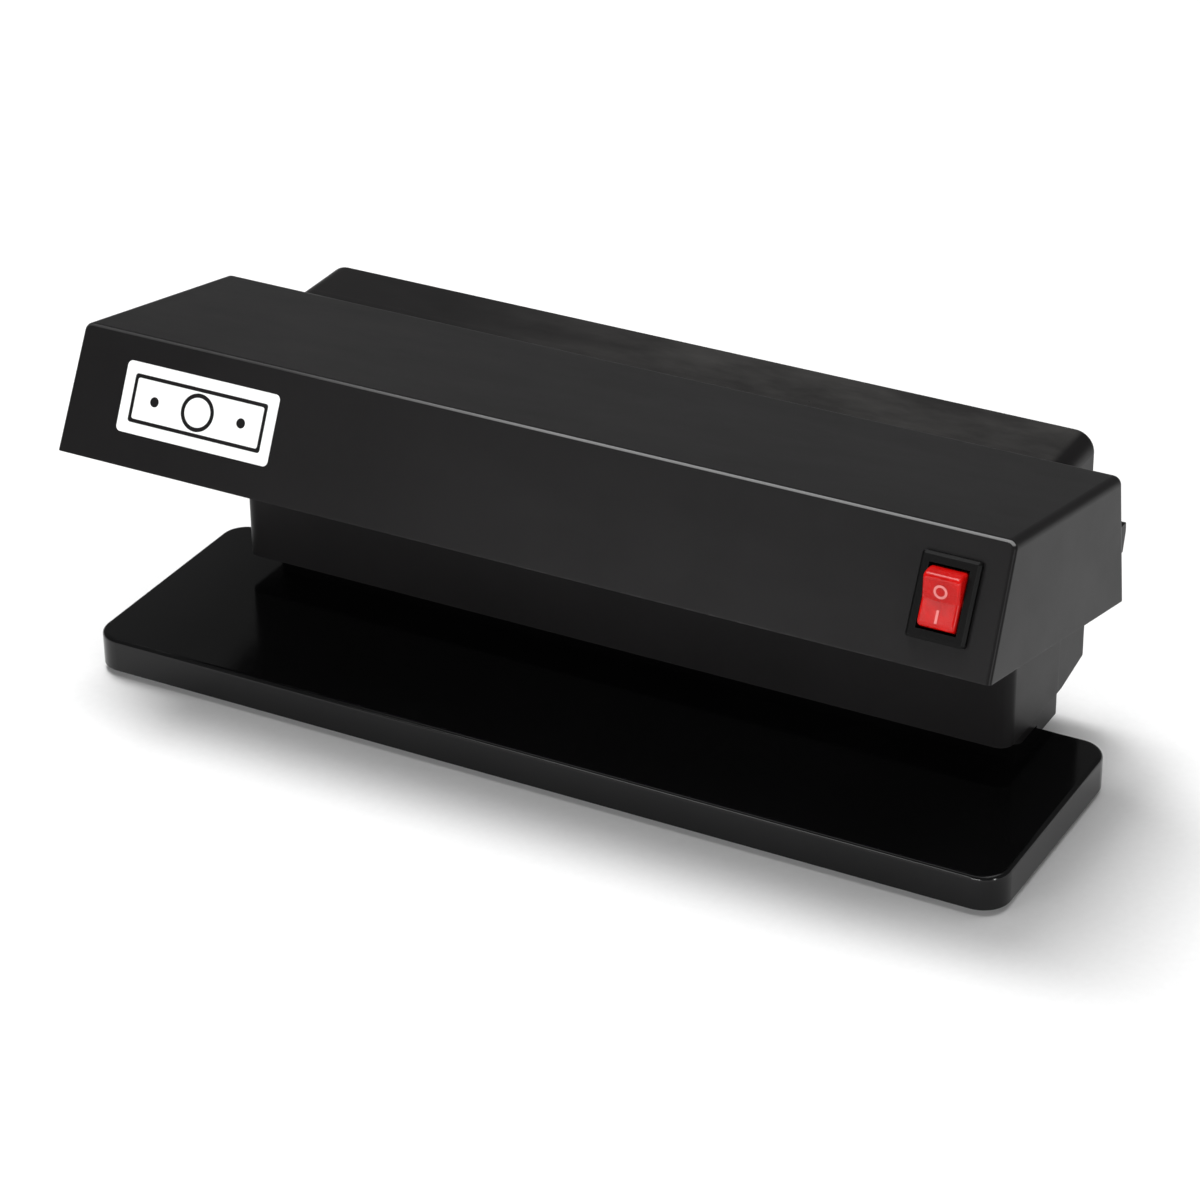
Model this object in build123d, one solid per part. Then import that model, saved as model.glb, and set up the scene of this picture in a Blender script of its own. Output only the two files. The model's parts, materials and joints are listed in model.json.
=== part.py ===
from build123d import *
import math
import os

# Counterfeit bill detector: an ultraviolet lamp under an overhanging hood, on a column and a flat base.
# Millimetres. +Z up, X along the length, -Y towards the user.
# The origin is the centre of the footprint, on the surface that the feet stand on.

# ---- driving dimensions ------------------------------------------------------------------------
WALL = 2.2
FOOT_HEIGHT = 2.0

PLATE_LENGTH = 262.6
PLATE_DEPTH = 71.6
PLATE_HEIGHT = 9.4
PLATE_CORNER = 7.5
PLATE_EDGE_ROUND = 1.2
PLATE_FRONT = -44.3

# The hood's side profile, as (Y, Z) corners before the edges are rounded.
HOOD_FRONT_BOTTOM = (-53.7, 70.9)
HOOD_FRONT_TOP = (-38.4, 101.2)
HOOD_REAR_TOP = (27.9, 87.6)
HOOD_REAR_BOTTOM = (31.0, 51.8)
HOOD_HALF_LENGTH = 130.9
HOOD_END_DRAFT = 1.5
HOOD_ROUND = 2.4
HOOD_FRONT_ROUND = 1.2

BLOCK_HALF_LENGTH = 112.5
BLOCK_FRONT = 3.7
BLOCK_REAR = 53.7
BLOCK_BOTTOM = 17.2
BLOCK_TOP = 84.0
BLOCK_TOP_ROUND = 5.5
BLOCK_FRONT_CORNER = 3.8
BLOCK_REAR_ROUND = 1.6
BLOCK_TAIL = 38.4
BLOCK_TAIL_RISE = 3.0
BLOCK_SPLIT = 36.0

PEDESTAL_HALF_LENGTH = 110.5
PEDESTAL_FRONT = 16.0
PEDESTAL_REAR = 42.6
PEDESTAL_DROP = 3.4

TRAY_LOW = 1.8
TRAY_THICKNESS = 2.0
TRAY_HALF_LENGTH = 126.8
TRAY_FRONT = 3.5
TRAY_REAR = 83.0

LAMP_BACK = 44.0
LAMP_HEIGHT = 14.0
TUBE_RADIUS = 7.75
TUBE_FACE = 106.1
PIN_RADIUS = 1.18
PIN_LENGTH = 7.0
PIN_OFFSET = 2.5

SWITCH_X = 115.2
SWITCH_UP_FACE = 17.1
BEZEL_HALF_WIDTH = 7.5
BEZEL_HALF_HEIGHT = 10.3
BEZEL_THICKNESS = 2.0
ROCKER_TILT = 12.0
LEVER_TILT = 10.0

INLET_X = -78.0
INLET_Z = 34.0

LEAD_RADIUS = 0.9

# ---- derived values ----------------------------------------------------------------------------
PLATE_REAR = PLATE_FRONT + PLATE_DEPTH
PLATE_TOP = FOOT_HEIGHT + PLATE_HEIGHT
TRAY_TOP = TRAY_LOW + TRAY_THICKNESS

SLOPE = math.atan2(HOOD_FRONT_BOTTOM[1] - HOOD_REAR_BOTTOM[1], HOOD_REAR_BOTTOM[0] - HOOD_FRONT_BOTTOM[0])
LEAN = math.atan2(HOOD_FRONT_TOP[0] - HOOD_FRONT_BOTTOM[0], HOOD_FRONT_TOP[1] - HOOD_FRONT_BOTTOM[1])

# The hood's underside: local y runs back down the slope from its front edge, local z up into the hood.
UNDER = Plane(
    origin=(0, *HOOD_FRONT_BOTTOM),
    x_dir=(1, 0, 0),
    z_dir=(0, math.sin(SLOPE), math.cos(SLOPE)),
).location

# The hood's front face: local y runs up the face from its bottom edge, local z out towards the user.
FRONT_FACE = Plane(
    origin=(0, *HOOD_FRONT_BOTTOM),
    x_dir=(1, 0, 0),
    z_dir=(0, -math.cos(LEAN), math.sin(LEAN)),
).location

SWITCH = FRONT_FACE * Pos(SWITCH_X, SWITCH_UP_FACE, 0)
ROCKER_PIVOT = 0.3
LEVER_PIVOT = -11.1
ROCKER_SWING = 7.3
ROCKER_HALF_WIDTH = 4.8
FACET_RUN = 9.2
FACET_RISE = 1.9
FACET_DIP = 3.3
TERMINAL_TIP = 0.4
LAMP = UNDER * Pos(0, LAMP_BACK, LAMP_HEIGHT)

# ---- fastener places ---------------------------------------------------------------------------
BASE_SCREW_PLACES = [(x, y) for x in (-118, 118) for y in (-34, 17)]
COLUMN_SCREW_PLACES = [(x, 21.5) for x in (-92, -38, 38, 92)]
TRAY_SCREW_PLACES = [(-95, 10), (0, 10), (95, 10), (-120, 78), (120, 78)]
HOOD_SCREW_PLACES = [(x, 72) for x in (-95, -35, 35, 95)]
REAR_SCREW_PLACES = [(x, z) for x in (-103, 103) for z in (26, 72)]
BALLAST_SCREW_PLACES = [(x, 24) for x in (-27, 27)]
SOCKET_SCREW_PLACES = [(92.5, 25.3), (92.5, 49.7)]
HOLDER_SCREW_BACK = [LAMP_BACK - 13, LAMP_BACK + 13]


# ---- helpers -----------------------------------------------------------------------------------
def corner_box(low, high):
    """A box between two opposite corners."""
    size = [b - a for a, b in zip(low, high)]
    middle = [(a + b) / 2 for a, b in zip(low, high)]
    return Pos(*middle) * Box(*size)


def prism_x(points, x_low, x_high):
    """A prism along X over an outline of (Y, Z) points."""
    outline = make_face(Polyline(*points, close=True))
    return Pos(x_low, 0, 0) * extrude(Plane.YZ * outline, x_high - x_low)


def rod_x(radius, x_low, x_high):
    """A round bar along X."""
    return Pos((x_low + x_high) / 2, 0, 0) * Rot(0, 90, 0) * Cylinder(radius, x_high - x_low)


def rod_y(radius, x, z, y_low, y_high):
    """A round bar along Y."""
    return Pos(x, (y_low + y_high) / 2, z) * Rot(90, 0, 0) * Cylinder(radius, y_high - y_low)


def rod_z(radius, x, y, z_low, z_high):
    """A round bar along Z."""
    return Pos(x, y, (z_low + z_high) / 2) * Cylinder(radius, z_high - z_low)


def screw(length, shank=1.45, head=2.8, head_height=1.7):
    """Pan-head screw with a cross recess: head above z = 0, shank below."""
    cap = rod_z(head, 0, 0, 0, head_height)
    cap = fillet(cap.edges().sort_by(Axis.Z)[-1], head_height * 0.45)
    for turn in (0, 90):
        cap -= Pos(0, 0, head_height) * Rot(0, 0, turn) * Box(head * 1.15, 0.7, 1.6)
    return cap + rod_z(shank, 0, 0, -length, 0)


def mirrored(solid):
    """The same piece on the other end."""
    return mirror(solid, about=Plane.YZ)


def save(name, *solids):
    """Write one named node; several solids become one group."""
    shape = solids[0] if len(solids) == 1 else Compound(children=list(solids))
    shape.label = name
    export_step(shape, f"parts/{name}.step")


# ---- base --------------------------------------------------------------------------------------
def plate_outline(inset):
    """The base's plan outline, its sides moved inwards."""
    centre_y = PLATE_FRONT + PLATE_DEPTH / 2
    size = (PLATE_LENGTH - 2 * inset, PLATE_DEPTH - 2 * inset)
    return Pos(0, centre_y, 0) * RectangleRounded(*size, PLATE_CORNER - inset)


BOTTOM_PLATE_LOW = FOOT_HEIGHT + 1.2
BOTTOM_PLATE_HIGH = BOTTOM_PLATE_LOW + 1.2
RECESS_INSET = 1.6


def base_plate():
    body = Pos(0, 0, FOOT_HEIGHT) * extrude(plate_outline(0), PLATE_HEIGHT)
    body = fillet(body.edges().group_by(Axis.Z)[-1], PLATE_EDGE_ROUND)
    recess_depth = BOTTOM_PLATE_HIGH - FOOT_HEIGHT + 1
    body -= Pos(0, 0, FOOT_HEIGHT - 1) * extrude(plate_outline(RECESS_INSET), recess_depth)
    cavity = Pos(0, 0, FOOT_HEIGHT) * extrude(plate_outline(RECESS_INSET + 1.4), PLATE_HEIGHT - WALL)
    for x, y in BASE_SCREW_PLACES:
        cavity -= rod_z(4.0, x, y, FOOT_HEIGHT, PLATE_TOP)
    for x, y in COLUMN_SCREW_PLACES:
        cavity -= rod_z(5.0, x, y, FOOT_HEIGHT, PLATE_TOP)
    for x in range(-100, 101, 40):
        cavity -= corner_box((x - 0.8, PLATE_FRONT, 7.0), (x + 0.8, PLATE_REAR, PLATE_TOP))
    body -= cavity & corner_box(
        (-200, -100, BOTTOM_PLATE_HIGH), (200, 100, PLATE_TOP - WALL)
    )
    for x, y in BASE_SCREW_PLACES:
        body -= rod_z(1.5, x, y, FOOT_HEIGHT, PLATE_TOP - 1.2)
    for x, y in COLUMN_SCREW_PLACES:
        body -= rod_z(2.0, x, y, 0, PLATE_TOP + 1)
    return body


def bottom_plate():
    sheet = Pos(0, 0, BOTTOM_PLATE_LOW) * extrude(plate_outline(RECESS_INSET + 0.3), 1.2)
    for x, y in BASE_SCREW_PLACES:
        sheet -= rod_z(1.7, x, y, 0, PLATE_TOP)
    for x, y in COLUMN_SCREW_PLACES:
        sheet -= rod_z(2.1, x, y, 0, PLATE_TOP)
    return sheet


FOOT_RADIUS = 6.0
FOOT_PLACES = {
    "rubber_foot_front_left": (-106, -34),
    "rubber_foot_front_right": (106, -34),
    "rubber_foot_rear_left": (-106, 17),
    "rubber_foot_rear_right": (106, 17),
}


def rubber_foot(x, y):
    foot = rod_z(FOOT_RADIUS, x, y, 0, BOTTOM_PLATE_LOW)
    return fillet(foot.edges().sort_by(Axis.Z)[0], 0.7)


def base_screws():
    turned = Rot(180, 0, 0) * screw(6.0)
    return [Pos(x, y, BOTTOM_PLATE_LOW) * turned for x, y in BASE_SCREW_PLACES]


def column_screws():
    turned = Rot(180, 0, 0) * screw(22.0, shank=1.9, head=3.6, head_height=1.9)
    return [Pos(x, y, BOTTOM_PLATE_LOW) * turned for x, y in COLUMN_SCREW_PLACES]


# ---- pedestal, column and rear cover -----------------------------------------------------------
def pedestal():
    """Low hollow foot of the column: it stands on the plate and hooks over the plate's rear edge."""
    step = PLATE_REAR + 0.3
    low = PLATE_TOP - PEDESTAL_DROP
    profile = [
        (PEDESTAL_FRONT, PLATE_TOP),
        (step, PLATE_TOP),
        (step, low),
        (PEDESTAL_REAR, low),
        (PEDESTAL_REAR, BLOCK_BOTTOM),
        (PEDESTAL_FRONT, BLOCK_BOTTOM),
    ]
    body = prism_x(profile, -PEDESTAL_HALF_LENGTH, PEDESTAL_HALF_LENGTH)
    uprights = body.edges().filter_by(Axis.Z).group_by(Axis.Y)
    body = fillet(uprights[0] + uprights[-1], 2.4)
    inner_half = PEDESTAL_HALF_LENGTH - WALL
    hollow = corner_box(
        (-inner_half, PEDESTAL_FRONT + WALL, low - 1),
        (inner_half, PEDESTAL_REAR - WALL, BLOCK_BOTTOM - 1.8),
    )
    for x, y in COLUMN_SCREW_PLACES:
        hollow -= rod_z(4.4, x, y, 0, BLOCK_TOP)
        hollow -= corner_box((x - 1, PEDESTAL_FRONT, PLATE_TOP), (x + 1, PEDESTAL_REAR, BLOCK_TOP))
    body -= hollow
    for x, y in COLUMN_SCREW_PLACES:
        body -= rod_z(2.0, x, y, 0, BLOCK_TOP)
    return body


def block_solid(inset=0.0):
    """Outline of the column and rear housing together, its faces moved inwards."""
    half = BLOCK_HALF_LENGTH - inset
    side = make_face(
        Polyline(
            (BLOCK_FRONT, BLOCK_BOTTOM),
            (BLOCK_TAIL, BLOCK_BOTTOM),
            (BLOCK_REAR, BLOCK_BOTTOM + BLOCK_TAIL_RISE),
            (BLOCK_REAR, BLOCK_TOP),
            (BLOCK_FRONT, BLOCK_TOP),
            close=True,
        )
    )
    if inset > 0:
        side = offset(side, -inset, kind=Kind.INTERSECTION)
    body = extrude(Plane.YZ * side, half, both=True)
    body = fillet(body.edges().filter_by(Axis.Y).group_by(Axis.Z)[-1], BLOCK_TOP_ROUND - inset)
    uprights = body.edges().filter_by(Axis.Z).group_by(Axis.Y)
    body = fillet(uprights[0], BLOCK_FRONT_CORNER - inset)
    if inset == 0:
        body = fillet(body.edges().group_by(Axis.Y)[-1], BLOCK_REAR_ROUND)
    return body


def hood_space(gap):
    """Everything above the hood's underside and in front of its rear face, grown by gap."""
    slope_run = 200.0
    far_front = (
        HOOD_REAR_BOTTOM[0] - slope_run,
        HOOD_REAR_BOTTOM[1] + slope_run * math.tan(SLOPE),
    )
    rise = 2.0
    past_top = (
        HOOD_REAR_BOTTOM[0] + (HOOD_REAR_TOP[0] - HOOD_REAR_BOTTOM[0]) * rise,
        HOOD_REAR_BOTTOM[1] + (HOOD_REAR_TOP[1] - HOOD_REAR_BOTTOM[1]) * rise,
    )
    corners = (HOOD_REAR_BOTTOM, past_top, (far_front[0], past_top[1]), far_front)
    outline = make_face(Polyline(*corners, close=True))
    if gap > 0:
        outline = offset(outline, gap, kind=Kind.INTERSECTION)
    return extrude(Plane.YZ * outline, 200, both=True)


SEAT_GAP = 0.05
PASSAGE = (-84, -51, 66, 76)


def wire_passage(low, high):
    """The opening that lets the leads down from the hood into the column."""
    x_low, x_high, back_low, back_high = PASSAGE
    return UNDER * corner_box((x_low, back_low, low), (x_high, back_high, high))


def column_shell():
    far = 300.0
    shell = block_solid() & corner_box((-far, -far, 0), (far, BLOCK_SPLIT, far))
    shell -= hood_space(SEAT_GAP)
    cavity = block_solid(WALL) - hood_space(SEAT_GAP + WALL)
    for x, y in COLUMN_SCREW_PLACES:
        cavity -= rod_z(4.2, x, y, 0, 26.5)
    for x, y in BALLAST_SCREW_PLACES:
        cavity -= rod_z(3.4, x, y, 0, 24.4)
    for x, z in REAR_SCREW_PLACES:
        cavity -= rod_y(4.2, x, z, BLOCK_FRONT, BLOCK_SPLIT)
    for x, z in SOCKET_SCREW_PLACES:
        cavity -= rod_y(2.6, x, z, BLOCK_FRONT, 9.0)
    shell -= cavity
    shell -= wire_passage(-8, 1)
    for x, back in HOOD_SCREW_PLACES:
        shell -= UNDER * rod_z(1.7, x, back, -6, 1)
    for x, y in COLUMN_SCREW_PLACES:
        shell -= rod_z(1.95, x, y, 0, 25.8)
    for x, y in BALLAST_SCREW_PLACES:
        shell -= rod_z(1.5, x, y, 18.5, 25)
    for x, z in REAR_SCREW_PLACES:
        shell -= rod_y(1.5, x, z, 31.9, BLOCK_SPLIT + 1)
    for x, z in SOCKET_SCREW_PLACES:
        shell -= rod_y(1.3, x, z, 5.0, 9.5)
    return shell


VENT_PITCH = 6.0
VENT_COUNT = 20
VENT_LOW = 40.0
VENT_HIGH = 66.0
VENT_WIDTH = 2.2
REAR_POST_SHOULDER = 42.0


def rear_cover():
    far = 300.0
    shell = block_solid() & corner_box((-far, BLOCK_SPLIT, 0), (far, far, far))
    cavity = block_solid(WALL)
    for x, z in REAR_SCREW_PLACES:
        cavity -= rod_y(4.8, x, z, BLOCK_SPLIT, BLOCK_REAR)
    shell -= cavity
    for x, z in REAR_SCREW_PLACES:
        shell -= rod_y(1.7, x, z, BLOCK_SPLIT - 1, BLOCK_REAR + 1)
        shell -= rod_y(3.4, x, z, REAR_POST_SHOULDER, BLOCK_REAR + 1)
    first = -VENT_PITCH * (VENT_COUNT - 1) / 2
    for number in range(VENT_COUNT):
        x = first + VENT_PITCH * number
        slot = Pos(x, BLOCK_REAR - 1, (VENT_LOW + VENT_HIGH) / 2) * Rot(90, 0, 0)
        shell -= slot * extrude(SlotOverall(VENT_HIGH - VENT_LOW, VENT_WIDTH, rotation=90), 4, both=True)
    shell -= inlet_outline(0.15, 30, BLOCK_REAR + 1)
    return shell


def rear_screws():
    turned = Rot(-90, 0, 0) * screw(9.8)
    return [Pos(x, REAR_POST_SHOULDER, z) * turned for x, z in REAR_SCREW_PLACES]


# ---- hood --------------------------------------------------------------------------------------
def hood_block(inset=0.0):
    """Outline of the hood with leaning ends and rounded edges, its faces moved inwards."""
    outline = make_face(
        Polyline(HOOD_FRONT_BOTTOM, HOOD_FRONT_TOP, HOOD_REAR_TOP, HOOD_REAR_BOTTOM, close=True)
    )
    if inset > 0:
        outline = offset(outline, -inset, kind=Kind.INTERSECTION)
    low = HOOD_REAR_BOTTOM[1]
    high = HOOD_FRONT_TOP[1]
    foot = HOOD_HALF_LENGTH - inset
    head = foot - HOOD_END_DRAFT
    body = extrude(Plane.YZ * outline, foot, both=True)
    ends = make_face(Polyline((-foot, low), (foot, low), (head, high), (-head, high), close=True))
    body &= extrude(Plane.XZ * ends, 200, both=True)
    open_rim = body.edges().filter_by(lambda edge: is_on_underside(edge, inset))
    front_rim = body.edges().filter_by(lambda edge: is_on_front(edge, inset))
    body = fillet(body.edges() - open_rim - front_rim, max(HOOD_ROUND - inset, 0.8))
    open_rim = body.edges().filter_by(lambda edge: is_on_underside(edge, inset))
    front_rim = body.edges().filter_by(lambda edge: is_on_front(edge, inset))
    return fillet(front_rim - open_rim, max(HOOD_FRONT_ROUND - inset, 0.8))


def is_on_underside(edge, inset):
    """True for the four edges around the hood's open bottom."""
    local = UNDER.inverse() * Vertex(*edge.center())
    return abs(local.center().Z - inset) < 0.5


def is_on_front(edge, inset):
    """True for the edges around the hood's front face."""
    local = FRONT_FACE.inverse() * Vertex(*edge.center())
    return abs(local.center().Z + inset) < 0.05


LUG_BACK = 2.0


def hood_lug(side):
    """Small wedge moulded on the hood's rear wall near its end."""
    top_z = 73.2
    low_z = 65.5
    wall_y = HOOD_REAR_BOTTOM[0] - (top_z - HOOD_REAR_BOTTOM[1]) * 3.1 / 35.8
    profile = [
        (wall_y - 1.5, top_z),
        (wall_y + LUG_BACK, top_z),
        (wall_y + LUG_BACK + 0.2, top_z - 2.5),
        (wall_y + 0.8, low_z),
        (wall_y - 0.7, low_z),
    ]
    x_low, x_high = sorted((side * 119.0, side * 129.9))
    return prism_x(profile, x_low, x_high)


def hood_cover():
    cavity = hood_block(WALL)
    for x, back in TRAY_SCREW_PLACES + HOOD_SCREW_PLACES:
        cavity -= UNDER * rod_z(3.4, x, back, TRAY_TOP + 0.05, 60)
    shell = hood_block() - cavity
    mouth = hood_block(WALL) & (UNDER * corner_box((-200, 0, 0), (200, 100, 7)))
    drop = 3.0
    shell -= Pos(0, 0, -drop) * mouth
    shell -= Pos(0, -drop * math.tan(LEAN), -drop) * mouth
    trim = UNDER * corner_box((-TRAY_HALF_LENGTH, 6, -1), (TRAY_HALF_LENGTH, 80, TRAY_TOP + 0.05))
    shell -= trim
    for x, back in TRAY_SCREW_PLACES + HOOD_SCREW_PLACES:
        shell -= UNDER * rod_z(1.5, x, back, 0, TRAY_TOP + 12)
    shell -= SWITCH * corner_box((-6.5, -9.5, -6), (6.5, 9.5, 3))
    shell += hood_lug(-1)
    shell += hood_lug(1)
    return shell


def tray_opening():
    """Plan of the lamp opening in tray coordinates: a long window with a slot at each end for the pins."""
    window = corner_box((-107, LAMP_BACK - 17, -5), (107, LAMP_BACK + 17, 10))
    slot = corner_box((-114, LAMP_BACK - 1.7, -5), (114, LAMP_BACK + 1.7, 10))
    return window + slot


def lamp_tray():
    panel = corner_box(
        (-TRAY_HALF_LENGTH, TRAY_FRONT, TRAY_LOW), (TRAY_HALF_LENGTH, TRAY_REAR, TRAY_TOP)
    )
    panel = fillet(panel.edges().filter_by(Axis.Z), 1.0)
    for x, back in HOOD_SCREW_PLACES:
        panel += rod_z(4.5, x, back, 0, TRAY_LOW)
    rim_low = TRAY_LOW - 1.4
    rim = corner_box((-108.6, LAMP_BACK - 18.6, rim_low), (108.6, LAMP_BACK + 18.6, TRAY_LOW))
    panel += rim
    panel -= tray_opening()
    panel -= corner_box((PASSAGE[0], PASSAGE[2], 0), (PASSAGE[1], PASSAGE[3], 10))
    for x, back in TRAY_SCREW_PLACES + HOOD_SCREW_PLACES:
        panel -= rod_z(1.7, x, back, -1, 10)
    for side in (-1, 1):
        for back in HOLDER_SCREW_BACK:
            panel -= rod_z(1.3, side * 112.2, back, TRAY_LOW + 0.6, 10)
    return UNDER * panel


def tray_screws():
    turned = Rot(180, 0, 0) * screw(10.0)
    return [UNDER * Pos(x, back, TRAY_LOW) * turned for x, back in TRAY_SCREW_PLACES]


def hood_screws():
    turned = Rot(180, 0, 0) * screw(14.0)
    seat_low = -(SEAT_GAP + WALL)
    return [UNDER * Pos(x, back, seat_low) * turned for x, back in HOOD_SCREW_PLACES]


def reflector():
    """Bright sheet folded over the lamp, with a flange on each side that lies on the tray."""
    sheet = 0.6
    foot = TRAY_TOP
    top = 24.8
    outer = [(-21, foot), (-21, foot + sheet), (-17.1, foot + sheet), (-10.6, top), (10.6, top)]
    outer += [(17.1, foot + sheet), (21, foot + sheet), (21, foot)]
    inner = [(16.7, foot), (10.2, top - sheet), (-10.2, top - sheet), (-16.7, foot)]
    section = make_face(Polyline(*outer, *inner, close=True))
    body = extrude(Plane.YZ * section, 104.8, both=True)
    return UNDER * Pos(0, LAMP_BACK, 0) * body


# ---- lamp --------------------------------------------------------------------------------------
def uv_tube():
    glass = rod_x(TUBE_RADIUS, -105.0, 105.0)
    glass = fillet(glass.edges(), 2.0)
    gas = fillet(rod_x(TUBE_RADIUS - 0.9, -104.0, 104.0).edges(), 1.5)
    return LAMP * (glass - gas)


def tube_end_cap(side):
    cap = rod_x(TUBE_RADIUS + 0.45, 96.0, TUBE_FACE)
    cap = fillet(cap.edges().sort_by(Axis.X)[-1], 0.8)
    cap -= rod_x(TUBE_RADIUS + 0.05, 95.0, 105.2)
    if side < 0:
        cap = mirrored(cap)
    return LAMP * cap


def tube_pins():
    pins = []
    for side in (-1, 1):
        for offset_back in (-PIN_OFFSET, PIN_OFFSET):
            pin = rod_x(PIN_RADIUS, TUBE_FACE, TUBE_FACE + PIN_LENGTH)
            pin = fillet(pin.edges().sort_by(Axis.X)[-1], 0.5)
            if side < 0:
                pin = mirrored(pin)
            pins.append(LAMP * Pos(0, offset_back, 0) * pin)
    return pins


HOLDER_FACE = 106.5
HOLDER_END = 118.0
BORE_END = 115.3
ROTOR_RADIUS = 7.0


def lamp_holder(side):
    """Lamp holder with a round bore for its rotor and a slot below that lets the pins out."""
    half = 10.0
    low = TRAY_TOP - LAMP_HEIGHT
    body = corner_box((HOLDER_FACE, -half, low), (HOLDER_END, half, 12.5))
    body = fillet(body.edges().filter_by(Axis.X).group_by(Axis.Z)[-1], 4.0)
    body += corner_box((109.2, -16, low), (115.2, 16, low + 2.4))
    body -= rod_x(ROTOR_RADIUS + 0.1, HOLDER_FACE - 1, BORE_END)
    body -= corner_box((HOLDER_FACE - 1, -1.7, low - 1), (114.0, 1.7, 0))
    for back in (-8.3, 8.3):
        body -= corner_box((108.5, back - 0.45, -3.2), (HOLDER_END + 1, back + 0.45, 3.2))
    for back in HOLDER_SCREW_BACK:
        body -= rod_z(1.5, 112.2, back - LAMP_BACK, low - 1, low + 4)
    if side < 0:
        body = mirrored(body)
    return LAMP * body


def holder_rotor(side):
    """Turning insert: a disc with a slot across it that carries the two pins."""
    body = rod_x(ROTOR_RADIUS, HOLDER_FACE + 0.3, BORE_END - 0.3)
    body -= corner_box((HOLDER_FACE, -8, -1.35), (TUBE_FACE + PIN_LENGTH + 0.3, 8, 1.35))
    if side < 0:
        body = mirrored(body)
    return LAMP * body


def holder_contacts():
    leaves = []
    for side in (-1, 1):
        for back in (-8.3, 8.3):
            leaf = corner_box((108.8, back - 0.2, -2.8), (HOLDER_END + 2.5, back + 0.2, 2.8))
            if side < 0:
                leaf = mirrored(leaf)
            leaves.append(LAMP * leaf)
    return leaves


def holder_screws():
    seat = TRAY_TOP + 2.4
    pieces = []
    for side in (-1, 1):
        for back in HOLDER_SCREW_BACK:
            small = screw(3.6, shank=1.2, head=2.3, head_height=1.3)
            pieces.append(UNDER * Pos(side * 112.2, back, seat) * small)
    return pieces


# ---- starter and ballast -----------------------------------------------------------------------
STARTER_Y = 20.0
STARTER_Z = 37.5
STARTER = Pos(0, STARTER_Y, STARTER_Z)


def starter_can():
    can = rod_x(10.7, 50.0, 83.0)
    can = fillet(can.edges().sort_by(Axis.X)[0], 2.0)
    can -= rod_x(10.2, 51.0, 84.0)
    return STARTER * can


def starter_base():
    base = rod_x(10.1, 81.0, 83.0) + rod_x(8.5, 83.0, 86.5)
    for back in (-6.3, 6.3):
        base += Pos(0, back * 0.75, 0) * rod_x(1.5, 86.5, 89.5)
        base += Pos(0, back * 0.75, 0) * rod_x(2.3, 89.5, 91.0)
    return STARTER * base


def starter_socket():
    body = corner_box((87.2, 9.0, 27.6), (97.0, 31.0, 47.4))
    body = fillet(body.edges().filter_by(Axis.X), 2.0)
    body += corner_box((88.5, 9.0, 22.6), (96.5, 11.0, 52.4))
    for back in (-6.3, 6.3):
        body -= STARTER * Pos(0, back * 0.75, 0) * rod_x(2.5, 87.0, 91.5)
    for x, z in SOCKET_SCREW_PLACES:
        body -= rod_y(1.5, x, z, 8, 12)
    return body


def socket_screws():
    small = Rot(-90, 0, 0) * screw(5.5, shank=1.2, head=2.3, head_height=1.3)
    return [Pos(x, 11.0, z) * small for x, z in SOCKET_SCREW_PLACES]


CORE_LOW = 26.0
CORE_HIGH = 43.0
CORE_FRONT = 7.5
CORE_BACK = 41.5
CORE_HALF = 20.5
LEG_HALF = 6.5
WINDOW_END = 13.5


def ballast_core():
    """Stack of laminations lying flat, with two windows beside its middle leg."""
    core = corner_box((-CORE_HALF, CORE_FRONT, CORE_LOW), (CORE_HALF, CORE_BACK, CORE_HIGH))
    for side in (-1, 1):
        x_low, x_high = sorted((side * LEG_HALF, side * WINDOW_END))
        core -= corner_box((x_low, 14.0, 0), (x_high, 35.0, 60))
    return core


def ballast_coil():
    coil = corner_box((-13.2, 14.3, 21.0), (13.2, 34.7, 48.0))
    coil = fillet(coil.edges().filter_by(Axis.Y), 3.0)
    coil -= corner_box((-6.8, 10, CORE_LOW - 0.3), (6.8, 40, CORE_HIGH + 0.3))
    return coil


def ballast_bracket(side):
    """Bent steel clip round the core's outer leg, with a foot that is screwed to the column floor."""
    sheet = 1.0
    foot_low = 24.4
    outer = CORE_HALF + 0.1
    section = [
        (outer - 5, CORE_HIGH + 0.1),
        (outer, CORE_HIGH + 0.1),
        (outer, foot_low),
        (outer + 11.5, foot_low),
        (outer + 11.5, foot_low + sheet),
        (outer + sheet, foot_low + sheet),
        (outer + sheet, CORE_HIGH + 0.1 + sheet),
        (outer - 5, CORE_HIGH + 0.1 + sheet),
    ]
    clip = Pos(0, 29, 0) * extrude(Plane.XZ * make_face(Polyline(*section, close=True)), 10)
    clip += corner_box((outer - 5, 19, foot_low), (outer + 0.1, 29, foot_low + sheet))
    clip -= rod_z(1.7, BALLAST_SCREW_PLACES[1][0], BALLAST_SCREW_PLACES[1][1], 20, 30)
    return mirrored(clip) if side < 0 else clip


def ballast_screws():
    return [Pos(x, y, 25.4) * screw(6.0, head=2.6) for x, y in BALLAST_SCREW_PLACES]


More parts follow.
